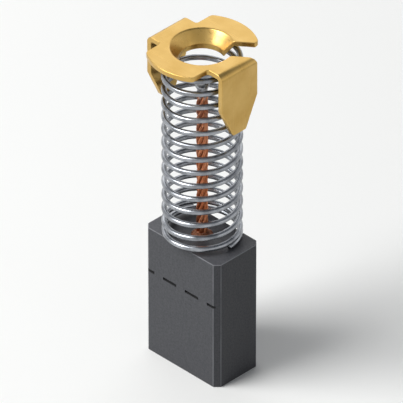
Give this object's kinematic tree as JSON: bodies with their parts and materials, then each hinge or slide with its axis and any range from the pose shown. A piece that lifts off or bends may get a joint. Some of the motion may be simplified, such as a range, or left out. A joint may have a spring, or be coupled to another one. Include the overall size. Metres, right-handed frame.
{
  "type": "carbon brush",
  "caption": "Block of pressed carbon with a copper pigtail inside a compression spring and a pressed brass cap with bent-down ears; carries current to a turning commutator.",
  "frame": {"origin": "centre of the block's contact face, on the commutator side", "axes": "+Z from the contact face up to the cap, X from one ear of the cap to the other, Y through the block's depth with the wear line on the -Y face"},
  "size_m": [0.0112, 0.012, 0.0402],
  "materials": {
    "carbon": "matte",
    "copper_powder": "matte",
    "copper": "satin",
    "spring_steel": "satin",
    "cap_brass": "satin",
    "solder": "satin"
  },
  "bodies": {
    "block": {"carbon_block": "carbon", "tamping_plug": "copper_powder", "pigtail_core": "copper", "pigtail_strand_1": "copper", "pigtail_strand_2": "copper", "pigtail_strand_3": "copper", "pigtail_strand_4": "copper", "pigtail_strand_5": "copper", "pigtail_strand_6": "copper", "spring": "spring_steel"},
    "cap": {"cap": "cap_brass", "solder_joint": "solder"}
  },
  "joints": [
    {"name": "cap_press", "type": "slide", "parent": "block", "child": "cap", "axis": [0, 0, -1], "range_m": [0, 0.0125], "stiffness_N_per_m": 345, "deforming": ["spring", "pigtail_core", "pigtail_strand_1", "pigtail_strand_2", "pigtail_strand_3", "pigtail_strand_4", "pigtail_strand_5", "pigtail_strand_6"]}
  ]
}
